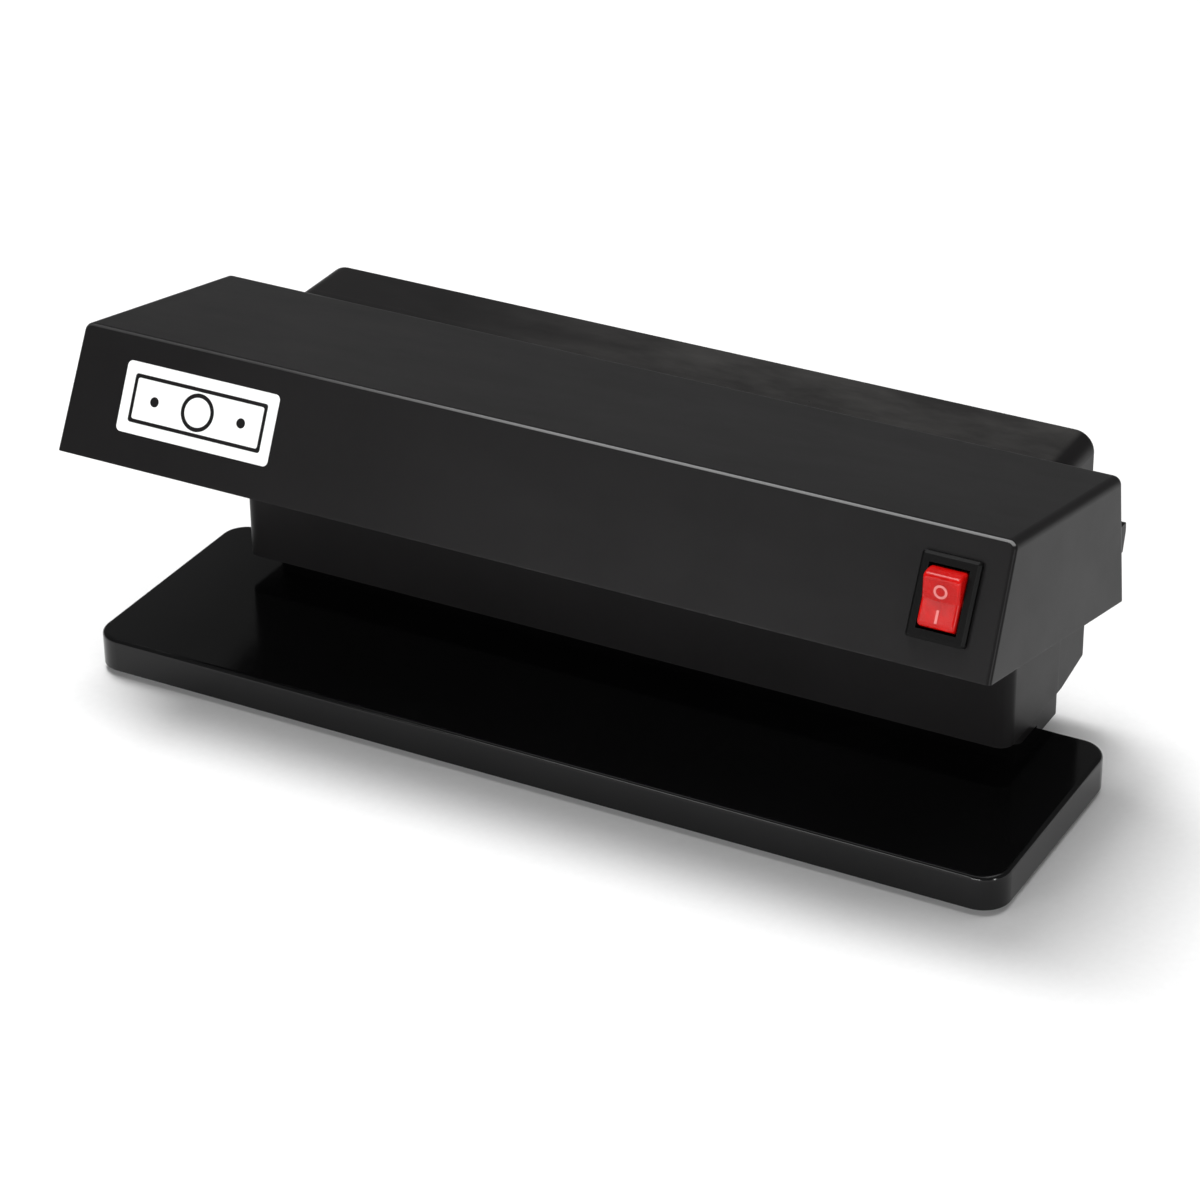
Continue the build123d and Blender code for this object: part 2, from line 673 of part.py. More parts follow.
# ---- switch ------------------------------------------------------------------------------------
def switch_body():
    """Bezel and body in one moulding, open at the front for the rocker."""
    bezel = corner_box(
        (-BEZEL_HALF_WIDTH, -BEZEL_HALF_HEIGHT, 0), (BEZEL_HALF_WIDTH, BEZEL_HALF_HEIGHT, BEZEL_THICKNESS)
    )
    bezel = fillet(bezel.edges().filter_by(Axis.Z), 0.8)
    bezel = chamfer(bezel.edges().group_by(Axis.Z)[-1], 0.7)
    body = bezel + corner_box((-6.4, -9.4, -14.5), (6.4, 9.4, 0))
    body -= corner_box((-5.15, -7.85, -13.3), (5.15, 7.85, BEZEL_THICKNESS + 1))
    body -= Pos(0, 0, ROCKER_PIVOT) * rod_x(1.07, -6.1, 6.1)
    for side in (-1, 1):
        y_low, y_high = sorted((side * 9.4, side * 9.9))
        body += corner_box((-2.5, y_low, -5.2), (2.5, y_high, -2.7))
    for y in (0.0, 6.5):
        body -= corner_box((-2.5, y - 0.45, -16), (2.5, y + 0.45, -12))
    return SWITCH * body


def rocker_section():
    """The rocker's side view: two facets that meet in a shallow V, over ends struck from the pivot."""
    far, brow = FACET_RUN, FACET_DIP + FACET_RISE
    outline = [(-far, brow), (0, FACET_DIP), (far, brow), (far, -3.2), (-far, -3.2)]
    section = make_face(Polyline(*outline, close=True)) & (Pos(0, ROCKER_PIVOT) * Circle(ROCKER_SWING))
    brows = [corner for corner in section.vertices() if corner.Y > FACET_DIP + 0.4]
    return fillet(brows, 1.4)


ROCKER_REST = SWITCH * Pos(0, 0, ROCKER_PIVOT) * Rot(ROCKER_TILT, 0, 0) * Pos(0, 0, -ROCKER_PIVOT)
FACET_ANGLE = math.degrees(math.atan2(FACET_RISE, FACET_RUN))


def rocker():
    body = extrude(Plane.YZ * rocker_section(), ROCKER_HALF_WIDTH, both=True)
    rims = body.edges().filter_by(lambda edge: edge.center().Z > 2.0 and edge.length > 2.0)
    ridge = body.edges().filter_by(Axis.X).filter_by_position(Axis.Y, -0.1, 0.1)
    body = fillet(rims - ridge, 0.8)
    body -= corner_box((-3.9, -5.2, -4), (3.9, 5.2, 0.6)) - rod_z(2.2, 0, 0, -5, 1)
    body += rod_z(2.2, 0, 0, -7.2, 0.7)
    body -= rod_z(1.3, 0, 0, -8, 0.2)
    for side in (-1, 1):
        x_low, x_high = sorted((side * (ROCKER_HALF_WIDTH - 0.2), side * 6.0))
        body += Pos(0, 0, ROCKER_PIVOT) * rod_x(1.0, x_low, x_high)
    return ROCKER_REST * body


def rocker_marks():
    """The O and I marks, printed a hair above the two facets."""
    ink = 0.12
    ring = Cylinder(1.75, ink) - Cylinder(1.15, ink)
    bar = Box(0.65, 3.2, ink)
    upper = Pos(0, 0, FACET_DIP) * Rot(FACET_ANGLE, 0, 0) * Pos(0, 2.5, ink / 2)
    lower = Pos(0, 0, FACET_DIP) * Rot(-FACET_ANGLE, 0, 0) * Pos(0, -3.6, ink / 2)
    return [ROCKER_REST * upper * ring, ROCKER_REST * lower * bar]


def rocker_plunger():
    pin = rod_z(1.2, 0, 0, -10.1, -4.6)
    pin = fillet(pin.edges().sort_by(Axis.Z)[0], 0.9)
    return ROCKER_REST * pin


def plunger_spring():
    wire = 0.16
    path = Helix(pitch=0.9, height=3.9, radius=0.95)
    section = Plane(origin=path @ 0, z_dir=path % 0) * Circle(wire)
    coil = sweep(section, path=path, is_frenet=True)
    return ROCKER_REST * Pos(0, 0, -4.2) * coil


def contact_lever():
    """Springy strip with a round saddle at its middle, which rocks on the middle terminal's tip."""
    strip = corner_box((-2.0, -6.8, -0.25), (2.0, 7.3, 0.25)) + rod_x(0.75, -2.0, 2.0)
    strip -= rod_x(TERMINAL_TIP + 0.08, -3.0, 3.0)
    strip -= corner_box((-3.0, -0.62, -1.0), (3.0, 0.62, -0.1))
    return SWITCH * Pos(0, 0, LEVER_PIVOT) * Rot(-LEVER_TILT, 0, 0) * strip


def switch_terminals():
    middle = corner_box((-2.3, -TERMINAL_TIP, -22.0), (2.3, TERMINAL_TIP, LEVER_PIVOT))
    middle += Pos(0, 0, LEVER_PIVOT) * rod_x(TERMINAL_TIP, -2.3, 2.3)
    outer = corner_box((-2.3, 6.1, -22.0), (2.3, 6.9, -12.9))
    return [SWITCH * middle, SWITCH * outer]


# ---- mains inlet -------------------------------------------------------------------------------
INLET_DEPTH = 16.0
INLET_PIN_GAP = 8.6


def inlet_outline(gap, y_low, y_high):
    """Rounded body of the inlet as it passes through the rear wall."""
    shape = RectangleRounded(22.0 + 2 * gap, 13.0 + 2 * gap, 3.0)
    return Pos(INLET_X, y_low, INLET_Z) * Rot(-90, 0, 0) * extrude(shape, y_high - y_low)


def figure_eight(radius, waist):
    """Two circles side by side, joined by a waist."""
    half_gap = INLET_PIN_GAP / 2
    shape = Pos(-half_gap, 0) * Circle(radius) + Pos(half_gap, 0) * Circle(radius)
    return shape + Rectangle(INLET_PIN_GAP, waist)


def inlet_body():
    body = inlet_outline(0, BLOCK_REAR - INLET_DEPTH, BLOCK_REAR)
    recess = Pos(INLET_X, BLOCK_REAR - 12.5, INLET_Z) * Rot(-90, 0, 0) * extrude(figure_eight(4.6, 6.0), 14)
    body -= recess
    for x in (-INLET_PIN_GAP / 2, INLET_PIN_GAP / 2):
        body -= rod_y(1.25, INLET_X + x, INLET_Z, 30, BLOCK_REAR)
    return body


def inlet_pins():
    pins = []
    for x in (-INLET_PIN_GAP / 2, INLET_PIN_GAP / 2):
        pin = rod_y(1.2, INLET_X + x, INLET_Z, BLOCK_REAR - INLET_DEPTH - 4, BLOCK_REAR - 2.5)
        pins.append(fillet(pin.edges().sort_by(Axis.Y)[-1], 0.8))
    return pins


# ---- printed mark ------------------------------------------------------------------------------
def front_label():
    """Plain banknote pictogram printed on the front face: a border, a panel with two dots, and a disc."""
    ink = 0.12
    border = RectangleRounded(45.6, 18.4, 1.4) - RectangleRounded(39.8, 12.6, 0.8)
    panel = RectangleRounded(37.8, 10.6, 0.6) - Circle(4.9)
    for x in (-13, 13):
        panel -= Pos(x, 0) * Circle(1.3)
    place = FRONT_FACE * Pos(-91.4, 17.9, 0)
    return [place * extrude(shape, ink) for shape in (border, panel, Circle(3.8))]


# ---- leads -------------------------------------------------------------------------------------
BEND_SHARE = 0.45


def bend_radii(points):
    """The largest arc for each corner that leaves a short straight stretch between arcs."""
    radii = []
    for before, corner, after in zip(points, points[1:], points[2:]):
        run_in = Vector(*corner) - Vector(*before)
        run_out = Vector(*after) - Vector(*corner)
        half_turn = math.radians(run_in.get_angle(run_out)) / 2
        radii.append(BEND_SHARE * min(run_in.length, run_out.length) / math.tan(half_turn))
    return radii


def lead(points):
    """An insulated lead along straight runs joined by tangent arcs."""
    path = FilletPolyline(*points, radius=bend_radii(points))
    section = Plane(origin=path @ 0, z_dir=path % 0) * Circle(LEAD_RADIUS)
    return sweep(section, path=path)


def in_hood(x, back, height):
    """A point given in the hood's tilted coordinates."""
    return tuple((UNDER * Pos(x, back, height)).position)


def behind_switch(y, depth):
    """A point behind the switch: y up its face, depth inwards."""
    return tuple((SWITCH * Pos(0, y, -depth)).position)


PIN_TAIL = BLOCK_REAR - INLET_DEPTH - 4
LEAF_TAIL = HOLDER_END + 2.5
LEAF_FRONT = LAMP_BACK - 8.3
LEAF_REAR = LAMP_BACK + 8.3


def lead_routes():
    """Points of each lead, from one terminal to the other."""
    return {
        "lead_inlet_to_switch": [
            (INLET_X + 4.3, PIN_TAIL, INLET_Z),
            (INLET_X + 4.3, 26.0, INLET_Z),
            (-74.0, 17.5, 42.0),
            in_hood(-74.0, 71.0, 4.0),
            in_hood(-74.0, 63.0, 17.0),
            in_hood(-64.0, 53.0, 30.5),
            in_hood(-54.0, 25.0, 28.0),
            in_hood(-20.0, 20.0, 22.0),
            in_hood(80.0, 19.5, 20.0),
            in_hood(103.0, 23.0, 13.5),
            in_hood(113.0, 29.5, 11.0),
            behind_switch(0.0, 25.0),
            behind_switch(0.0, 22.0),
        ],
        "lead_switch_to_ballast": [
            behind_switch(6.5, 22.0),
            behind_switch(6.5, 25.0),
            in_hood(112.0, 30.5, 17.5),
            in_hood(101.0, 25.0, 22.0),
            in_hood(80.0, 21.0, 25.5),
            in_hood(-20.0, 22.0, 26.5),
            in_hood(-44.0, 30.0, 26.6),
            in_hood(-54.0, 54.0, 26.4),
            in_hood(-56.5, 65.0, 24.5),
            in_hood(-56.5, 71.5, 15.0),
            in_hood(-56.0, 72.0, 1.0),
            (-47.0, 18.5, 46.8),
            (-28.0, 21.0, 46.0),
            (-13.3, 21.0, 46.0),
        ],
        "lead_ballast_to_lamp": [
            (-13.3, 28.0, 46.0),
            (-28.0, 28.0, 46.0),
            (-54.0, 25.0, 43.0),
            (-68.0, 17.6, 45.5),
            in_hood(-70.0, 72.5, 6.0),
            in_hood(-74.0, 65.0, 22.0),
            in_hood(-88.0, 52.0, 28.6),
            in_hood(-112.0, 38.0, 29.6),
            in_hood(-123.6, 35.7, 26.5),
            in_hood(-124.4, LEAF_FRONT, 14.0),
            in_hood(-LEAF_TAIL, LEAF_FRONT, 14.0),
        ],
        "lead_lamp_to_starter": [
            in_hood(-LEAF_TAIL, LEAF_REAR, 14.0),
            in_hood(-124.4, LEAF_REAR, 14.0),
            in_hood(-123.6, 53.5, 26.5),
            in_hood(-108.0, 60.0, 29.0),
            in_hood(-82.0, 65.0, 30.0),
            in_hood(-68.0, 66.5, 28.6),
            in_hood(-61.0, 69.0, 15.0),
            in_hood(-61.0, 69.5, 1.0),
            (-57.0, 12.5, 48.8),
            (-38.0, 9.4, 49.2),
            (72.0, 9.4, 49.6),
            (88.0, 14.5, 49.8),
            (101.0, 15.3, 48.6),
            (104.0, 15.3, 42.0),
            (102.0, 15.3, 37.5),
            (97.0, 15.275, 37.5),
        ],
        "lead_starter_to_lamp": [
            (97.0, 24.725, 37.5),
            (102.0, 24.725, 37.5),
            (105.0, 24.4, 42.5),
            (100.5, 22.5, 49.2),
            (85.0, 16.6, 50.2),
            (68.0, 8.0, 46.4),
            (-44.0, 8.0, 46.0),
            (-62.0, 11.0, 44.6),
            in_hood(-66.0, 69.0, 0.0),
            in_hood(-62.5, 66.5, 13.0),
            in_hood(-50.0, 64.0, 18.0),
            in_hood(-30.0, 62.0, 25.0),
            in_hood(95.0, 61.5, 26.0),
            in_hood(114.0, 58.0, 28.6),
            in_hood(123.6, 53.5, 26.0),
            in_hood(124.4, LEAF_REAR, 14.0),
            in_hood(LEAF_TAIL, LEAF_REAR, 14.0),
        ],
        "lead_lamp_to_inlet": [
            in_hood(LEAF_TAIL, LEAF_FRONT, 14.0),
            in_hood(124.4, LEAF_FRONT, 14.0),
            in_hood(123.6, 37.0, 26.5),
            in_hood(112.0, 46.0, 29.8),
            in_hood(92.0, 57.0, 29.8),
            in_hood(-40.0, 57.5, 29.9),
            in_hood(-64.0, 62.0, 28.5),
            in_hood(-77.5, 70.0, 17.0),
            in_hood(-78.5, 71.5, 4.0),
            (-80.5, 19.0, 44.0),
            (INLET_X - 4.3, 26.0, INLET_Z),
            (INLET_X - 4.3, PIN_TAIL, INLET_Z),
        ],
    }


def main():
    os.makedirs("parts", exist_ok=True)
    save("base_plate", base_plate())
    save("bottom_plate", bottom_plate())
    for name, (x, y) in FOOT_PLACES.items():
        save(name, rubber_foot(x, y))
    save("base_screws", *base_screws())
    save("column_screws", *column_screws())
    save("pedestal", pedestal())
    save("column_shell", column_shell())
    save("rear_cover", rear_cover())
    save("rear_cover_screws", *rear_screws())
    save("hood_cover", hood_cover())
    save("lamp_tray", lamp_tray())
    save("tray_screws", *tray_screws())
    save("hood_screws", *hood_screws())
    save("reflector", reflector())
    save("uv_tube", uv_tube())
    save("tube_pins", *tube_pins())
    for name, side in (("left", -1), ("right", 1)):
        save(f"tube_end_cap_{name}", tube_end_cap(side))
        save(f"lamp_holder_{name}", lamp_holder(side))
        save(f"holder_rotor_{name}", holder_rotor(side))
        save(f"ballast_bracket_{name}", ballast_bracket(side))
    save("holder_contacts", *holder_contacts())
    save("holder_screws", *holder_screws())
    save("starter_can", starter_can())
    save("starter_base", starter_base())
    save("starter_socket", starter_socket())
    save("socket_screws", *socket_screws())
    save("ballast_core", ballast_core())
    save("ballast_coil", ballast_coil())
    save("ballast_screws", *ballast_screws())
    save("switch_body", switch_body())
    save("rocker", rocker())
    save("rocker_marks", *rocker_marks())
    save("rocker_plunger", rocker_plunger())
    save("plunger_spring", plunger_spring())
    save("contact_lever", contact_lever())
    save("switch_terminals", *switch_terminals())
    save("inlet_body", inlet_body())
    save("inlet_pins", *inlet_pins())
    save("front_label", *front_label())
    for name, points in lead_routes().items():
        save(name, lead(points))


main()
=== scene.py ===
import json
import math

import bpy
from mathutils import Matrix, Vector


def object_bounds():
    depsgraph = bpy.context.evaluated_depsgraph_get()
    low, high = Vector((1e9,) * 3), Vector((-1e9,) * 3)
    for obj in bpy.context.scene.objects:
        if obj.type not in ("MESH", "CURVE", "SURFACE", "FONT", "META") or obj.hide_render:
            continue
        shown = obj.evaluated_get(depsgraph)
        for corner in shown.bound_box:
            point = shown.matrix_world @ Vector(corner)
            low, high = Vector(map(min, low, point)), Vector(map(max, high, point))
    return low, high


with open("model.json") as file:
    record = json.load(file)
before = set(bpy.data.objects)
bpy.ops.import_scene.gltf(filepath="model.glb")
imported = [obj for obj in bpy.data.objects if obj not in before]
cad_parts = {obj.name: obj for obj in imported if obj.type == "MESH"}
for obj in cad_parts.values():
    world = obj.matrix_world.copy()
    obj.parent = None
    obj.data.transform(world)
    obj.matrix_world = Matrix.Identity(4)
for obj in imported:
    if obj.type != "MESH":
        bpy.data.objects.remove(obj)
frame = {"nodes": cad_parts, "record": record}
CAD_LOW, CAD_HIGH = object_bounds()
CENTRE = (CAD_LOW + CAD_HIGH) / 2
MM = 0.001

# ---- colours (linear RGB) ----------------------------------------------------------------------
BLACK_ABS = (0.0082, 0.0078, 0.008)
BLACK_GLOSS = (0.004, 0.004, 0.0042)
BLACK_NYLON = (0.0035, 0.0035, 0.0035)
ZINC = (0.52, 0.53, 0.55)
BRIGHT_SCREW = (0.58, 0.58, 0.57)
BLACK_OXIDE = (0.035, 0.035, 0.037)
SPRING_WIRE = (0.5, 0.5, 0.5)
ALUMINIUM_SHEET = (0.83, 0.84, 0.85)
ALUMINIUM_CAP = (0.75, 0.76, 0.77)
BRASS = (0.72, 0.52, 0.22)
WHITE_NYLON = (0.74, 0.72, 0.68)
PALE_SHELL = (0.68, 0.68, 0.64)
PHENOLIC_BROWN = (0.16, 0.075, 0.035)
MARK_PINK = (0.7, 0.2, 0.19)
LABEL_WHITE = (0.87, 0.87, 0.87)
RUBBER_BLACK = (0.02, 0.02, 0.02)
LEAD_BROWN = (0.13, 0.045, 0.015)
LEAD_WHITE = (0.42, 0.42, 0.4)
LEAD_BLUE = (0.015, 0.06, 0.28)
# Lighter grey for up-facing faces: partly dust, partly a painted highlight.
DUST_AND_HIGHLIGHT_GREY = (0.075, 0.073, 0.07)
# Pale grey painted on the round of the upper front edge as a highlight.
PAINTED_HIGHLIGHT_GREY = (0.2, 0.2, 0.2)
RED_DEEP, RED_LIGHT, RED_RIM = (0.4, 0.002, 0.0015), (0.54, 0.004, 0.003), (0.75, 0.06, 0.05)
VIOLET_DEEP, VIOLET_LIGHT = (0.02, 0.008, 0.05), (0.05, 0.018, 0.11)
STEEL_DARK, STEEL_LIGHT, VARNISH = (0.14, 0.145, 0.16), (0.26, 0.265, 0.28), (0.05, 0.03, 0.02)
TAPE_DARK, TAPE_LIGHT = (0.42, 0.26, 0.03), (0.68, 0.48, 0.1)
PAPER_DARK, PAPER_LIGHT = (0.86, 0.86, 0.86), (0.88, 0.88, 0.88)

# ---- surface detail ----------------------------------------------------------------------------
SATIN_ROUGHNESS = 0.34
SATIN_LEVEL = 0.09
# Strength of the painted highlight on the round of the upper front edge.
PAINTED_HIGHLIGHT_AMOUNT = 0.75
# Strength of the lighter grey on up-facing faces: partly dust, partly a painted highlight.
DUST_AND_HIGHLIGHT_AMOUNT = 0.45
LAMINATIONS_PER_METRE = 320.0
TAPE_TURNS_PER_METRE = 45.0


# ---- node helpers ------------------------------------------------------------------------------
class Recipe:
    """One material's node tree, with short names for the nodes that the recipes share."""

    def __init__(self, name):
        self.material = bpy.data.materials.new(name)
        self.material.use_nodes = True
        tree = self.material.node_tree
        tree.nodes.clear()
        self.nodes = tree.nodes
        self.links = tree.links
        self.output = self.nodes.new("ShaderNodeOutputMaterial")
        self.shader = self.nodes.new("ShaderNodeBsdfPrincipled")
        self.link(self.shader.outputs["BSDF"], self.output.inputs["Surface"])
        coordinates = self.nodes.new("ShaderNodeTexCoord")
        self.place = coordinates.outputs["Object"]

    def link(self, source, target):
        self.links.new(source, target)

    def set(self, **values):
        """Constant values straight on the shader's sockets."""
        for key, value in values.items():
            self.shader.inputs[key.replace("_", " ")].default_value = value

    def noise(self, size, detail=3.0, rough=0.55, stretch=(1, 1, 1)):
        """Noise whose features are about size metres across."""
        mapping = self.nodes.new("ShaderNodeMapping")
        mapping.inputs["Scale"].default_value = stretch
        self.link(self.place, mapping.inputs["Vector"])
        node = self.nodes.new("ShaderNodeTexNoise")
        node.inputs["Scale"].default_value = 1.0 / size
        node.inputs["Detail"].default_value = detail
        node.inputs["Roughness"].default_value = rough
        self.link(mapping.outputs["Vector"], node.inputs["Vector"])
        return node.outputs["Fac"]

    def range(self, value, low, high, to_low, to_high):
        """Maps low..high to to_low..to_high, clamped."""
        node = self.nodes.new("ShaderNodeMapRange")
        for key, number in (("From Min", low), ("From Max", high), ("To Min", to_low), ("To Max", to_high)):
            node.inputs[key].default_value = number
        self.link(value, node.inputs["Value"])
        return node.outputs["Result"]

    def math(self, operation, first, second):
        """One Math node; each value is a number or a socket."""
        node = self.nodes.new("ShaderNodeMath")
        node.operation = operation
        for socket, value in zip(node.inputs, (first, second)):
            if isinstance(value, (int, float)):
                socket.default_value = value
            else:
                self.link(value, socket)
        return node.outputs["Value"]

    def blend(self, factor, first, second):
        """Mixes two colours, each a tuple or a socket."""
        node = self.nodes.new("ShaderNodeMix")
        node.data_type = "RGBA"
        colour_sockets = [s for s in node.inputs if s.type == "RGBA"]
        for socket, value in zip(colour_sockets, (first, second)):
            if isinstance(value, tuple):
                socket.default_value = (*value, 1.0)
            else:
                self.link(value, socket)
        self.link(factor, node.inputs["Factor"])
        return [s for s in node.outputs if s.type == "RGBA"][0]

    def edges(self, radius):
        """1 on outer edges and corners, 0 on flat faces."""
        bevel = self.nodes.new("ShaderNodeBevel")
        bevel.samples = 6
        bevel.inputs["Radius"].default_value = radius
        geometry = self.nodes.new("ShaderNodeNewGeometry")
        dot = self.nodes.new("ShaderNodeVectorMath")
        dot.operation = "DOT_PRODUCT"
        self.link(bevel.outputs["Normal"], dot.inputs[0])
        self.link(geometry.outputs["Normal"], dot.inputs[1])
        return self.range(dot.outputs["Value"], 1.0, 0.86, 0.0, 1.0)

    def split(self, vector):
        """The X, Y and Z sockets of a vector."""
        node = self.nodes.new("ShaderNodeSeparateXYZ")
        self.link(vector, node.inputs["Vector"])
        return node.outputs

    def normal(self):
        """The X, Y and Z sockets of the surface's own normal."""
        return self.split(self.nodes.new("ShaderNodeNewGeometry").outputs["Normal"])

    def upward(self):
        """1 on faces that look up, 0 on faces that lean more than about 25 degrees."""
        return self.range(self.normal()["Z"], 0.9, 0.985, 0.0, 1.0)

    def dust_and_highlight_ramp(self):
        """Rises from a little at the left to 1 towards the right; it sets where the dust and the painted
        highlights are strongest.
        """
        return self.range(self.split(self.place)["X"], -70 * MM, 10 * MM, 0.15, 1.0)

    def brow(self):
        """1 on the round of an upper front edge, which looks both forwards and up."""
        normal = self.normal()
        above_front = self.range(normal["Z"], 0.58, 0.68, 0.0, 1.0)
        below_roof = self.range(normal["Z"], 0.93, 0.97, 1.0, 0.0)
        forwards = self.range(normal["Y"], -0.3, -0.15, 1.0, 0.0)
        return self.math("MULTIPLY", self.math("MULTIPLY", above_front, below_roof), forwards)

    def bump(self, heights):
        """Chains bumps; each is (height socket, distance in metres, strength)."""
        normal = None
        for height, distance, strength in heights:
            node = self.nodes.new("ShaderNodeBump")
            node.inputs["Distance"].default_value = distance
            node.inputs["Strength"].default_value = strength
            self.link(height, node.inputs["Height"])
            if normal is not None:
                self.link(normal, node.inputs["Normal"])
            normal = node.outputs["Normal"]
        self.link(normal, self.shader.inputs["Normal"])

    def colour(self, socket):
        self.link(socket, self.shader.inputs["Base Color"])

    def roughness(self, socket):
        self.link(socket, self.shader.inputs["Roughness"])


def shade(colour, factor):
    """The colour made darker or lighter by a factor."""
    return tuple(min(1.0, c * factor) for c in colour)


def moulded_plastic(name, colour, rough, grain=0.35 * MM, wear=0.35, level=0.35, dust=0.0, rubbed=0.0):
    """Injection-moulded plastic: fine grain, slight mottling, handling marks and polished edges; where
    asked, lighter grey on up-facing faces (partly dust, partly a painted highlight) and a painted highlight
    on the round of the upper front edge.
    """
    recipe = Recipe(name)
    cloud = recipe.noise(38 * MM, 3.0)
    fine = recipe.noise(grain, 2.0, 0.7)
    smear = recipe.noise(16 * MM, 5.0, 0.65, stretch=(0.45, 1.0, 1.0))
    edge = recipe.edges(0.9 * MM)
    broken = recipe.math("MULTIPLY", edge, recipe.range(recipe.noise(3 * MM, 4.0), 0.35, 0.75, 0.2, 1.0))
    base = recipe.blend(recipe.range(cloud, 0.3, 0.7, 0.0, 1.0), shade(colour, 0.88), shade(colour, 1.14))
    speck = recipe.blend(recipe.range(fine, 0.35, 0.75, 0.0, 0.35), base, shade(colour, 1.5))
    worn = recipe.blend(recipe.math("MULTIPLY", broken, wear), speck, shade(colour, 3.2))
    # Lighter grey on up-facing faces, more towards the right: partly dust, partly a painted highlight.
    if dust:
        patchy = recipe.math("MULTIPLY", recipe.range(smear, 0.35, 0.7, 0.3 * dust, dust), recipe.dust_and_highlight_ramp())
        worn = recipe.blend(recipe.math("MULTIPLY", recipe.upward(), patchy), worn, DUST_AND_HIGHLIGHT_GREY)
    # Painted highlight: pale grey on the round of the upper front edge, stronger towards the right.
    if rubbed:
        highlight_mask = recipe.math("MULTIPLY", recipe.brow(), recipe.math("MULTIPLY", recipe.dust_and_highlight_ramp(), rubbed))
        worn = recipe.blend(highlight_mask, worn, PAINTED_HIGHLIGHT_GREY)
    recipe.colour(worn)
    spread = recipe.range(smear, 0.3, 0.75, rough - 0.02, rough + 0.04)
    recipe.roughness(recipe.math("SUBTRACT", spread, recipe.math("MULTIPLY", broken, 0.12)))
    recipe.set(Specular_IOR_Level=level)
    recipe.bump([(recipe.noise(60 * MM, 2.0), 0.5 * MM, 0.08), (fine, 0.012 * MM, 0.8)])
    return recipe.material


def gloss_plastic(name, colour, rough=0.12, level=0.4):
    """Polished plastic: near mirror, with faint haze, fine wipe marks and moulding waves."""
    recipe = Recipe(name)
    cloud = recipe.noise(45 * MM, 3.0)
    wipe = recipe.noise(1.2 * MM, 4.0, 0.6, stretch=(0.06, 1.0, 1.0))
    haze = recipe.noise(24 * MM, 5.0, 0.6)
    edge = recipe.edges(0.8 * MM)
    base = recipe.blend(recipe.range(cloud, 0.3, 0.7, 0.0, 1.0), shade(colour, 0.85), shade(colour, 1.2))
    worn = recipe.blend(recipe.math("MULTIPLY", edge, 0.3), base, shade(colour, 3.0))
    recipe.colour(worn)
    hazy = recipe.range(haze, 0.35, 0.75, rough - 0.03, rough + 0.08)
    recipe.roughness(recipe.math("ADD", hazy, recipe.range(wipe, 0.5, 0.8, 0.0, 0.05)))
    recipe.set(Specular_IOR_Level=level)
    recipe.bump([(recipe.noise(50 * MM, 2.0), 0.4 * MM, 0.2), (wipe, 0.004 * MM, 0.5)])
    return recipe.material


def plain_metal(name, colour, rough=0.32, brush=(0.05, 1.0, 1.0), brush_size=0.5 * MM):
    """Rolled or plated metal: brushed streaks, cloudy tarnish and bright edges."""
    recipe = Recipe(name)
    streak = recipe.noise(brush_size, 3.0, 0.6, stretch=brush)
    cloud = recipe.noise(9 * MM, 4.0)
    edge = recipe.edges(0.4 * MM)
    base = recipe.blend(recipe.range(cloud, 0.3, 0.7, 0.0, 1.0), shade(colour, 0.82), shade(colour, 1.08))
    lined = recipe.blend(recipe.range(streak, 0.35, 0.7, 0.0, 0.35), base, shade(colour, 0.7))
    recipe.colour(recipe.blend(recipe.math("MULTIPLY", edge, 0.4), lined, shade(colour, 1.3)))
    recipe.roughness(recipe.range(streak, 0.3, 0.75, rough - 0.08, rough + 0.12))
    recipe.set(Metallic=1.0)
    recipe.bump([(streak, 0.01 * MM, 0.5)])
    return recipe.material


def red_rocker_plastic():
    """Translucent red moulding with a soft glow below the surface."""
    recipe = Recipe("rocker_red")
    cloud = recipe.noise(5 * MM, 3.0)
    edge = recipe.edges(0.7 * MM)
    base = recipe.blend(recipe.range(cloud, 0.3, 0.7, 0.0, 1.0), RED_DEEP, RED_LIGHT)
    recipe.colour(recipe.blend(recipe.math("MULTIPLY", edge, 0.3), base, RED_RIM))
    recipe.roughness(recipe.range(recipe.noise(2 * MM, 4.0), 0.3, 0.7, 0.22, 0.32))
    recipe.set(Specular_IOR_Level=0.22, Subsurface_Weight=0.3, Subsurface_Scale=0.002)
    recipe.shader.inputs["Subsurface Radius"].default_value = (1.0, 0.15, 0.1)
    recipe.bump([(recipe.noise(0.5 * MM, 2.0), 0.006 * MM, 0.6)])
    return recipe.material


def violet_filter_glass():
    """Nearly black violet glass of an ultraviolet tube."""
    recipe = Recipe("violet_filter_glass")
    cloud = recipe.noise(30 * MM, 3.0, stretch=(0.3, 1.0, 1.0))
    recipe.colour(recipe.blend(recipe.range(cloud, 0.3, 0.7, 0.0, 1.0), VIOLET_DEEP, VIOLET_LIGHT))
    recipe.roughness(recipe.range(recipe.noise(8 * MM, 4.0), 0.3, 0.7, 0.03, 0.1))
    recipe.set(Specular_IOR_Level=0.6, Coat_Weight=0.5, Coat_Roughness=0.04)
    recipe.bump([(recipe.noise(20 * MM, 2.0, stretch=(0.2, 1.0, 1.0)), 0.1 * MM, 0.3)])
    return recipe.material


def rubber_compound(name, colour, rough=0.75):
    """Matt rubber or cable sheath with a fine tooth and a little dust."""
    recipe = Recipe(name)
    fine = recipe.noise(0.4 * MM, 3.0, 0.7)
    dust = recipe.noise(4 * MM, 4.0)
    dusty = recipe.range(dust, 0.4, 0.75, 0.0, 0.6)
    recipe.colour(recipe.blend(dusty, shade(colour, 0.9), shade(colour, 2.0)))
    recipe.roughness(recipe.range(fine, 0.3, 0.7, rough - 0.08, rough + 0.1))
    recipe.set(Specular_IOR_Level=0.25)
    recipe.bump([(fine, 0.05 * MM, 0.6)])
    return recipe.material


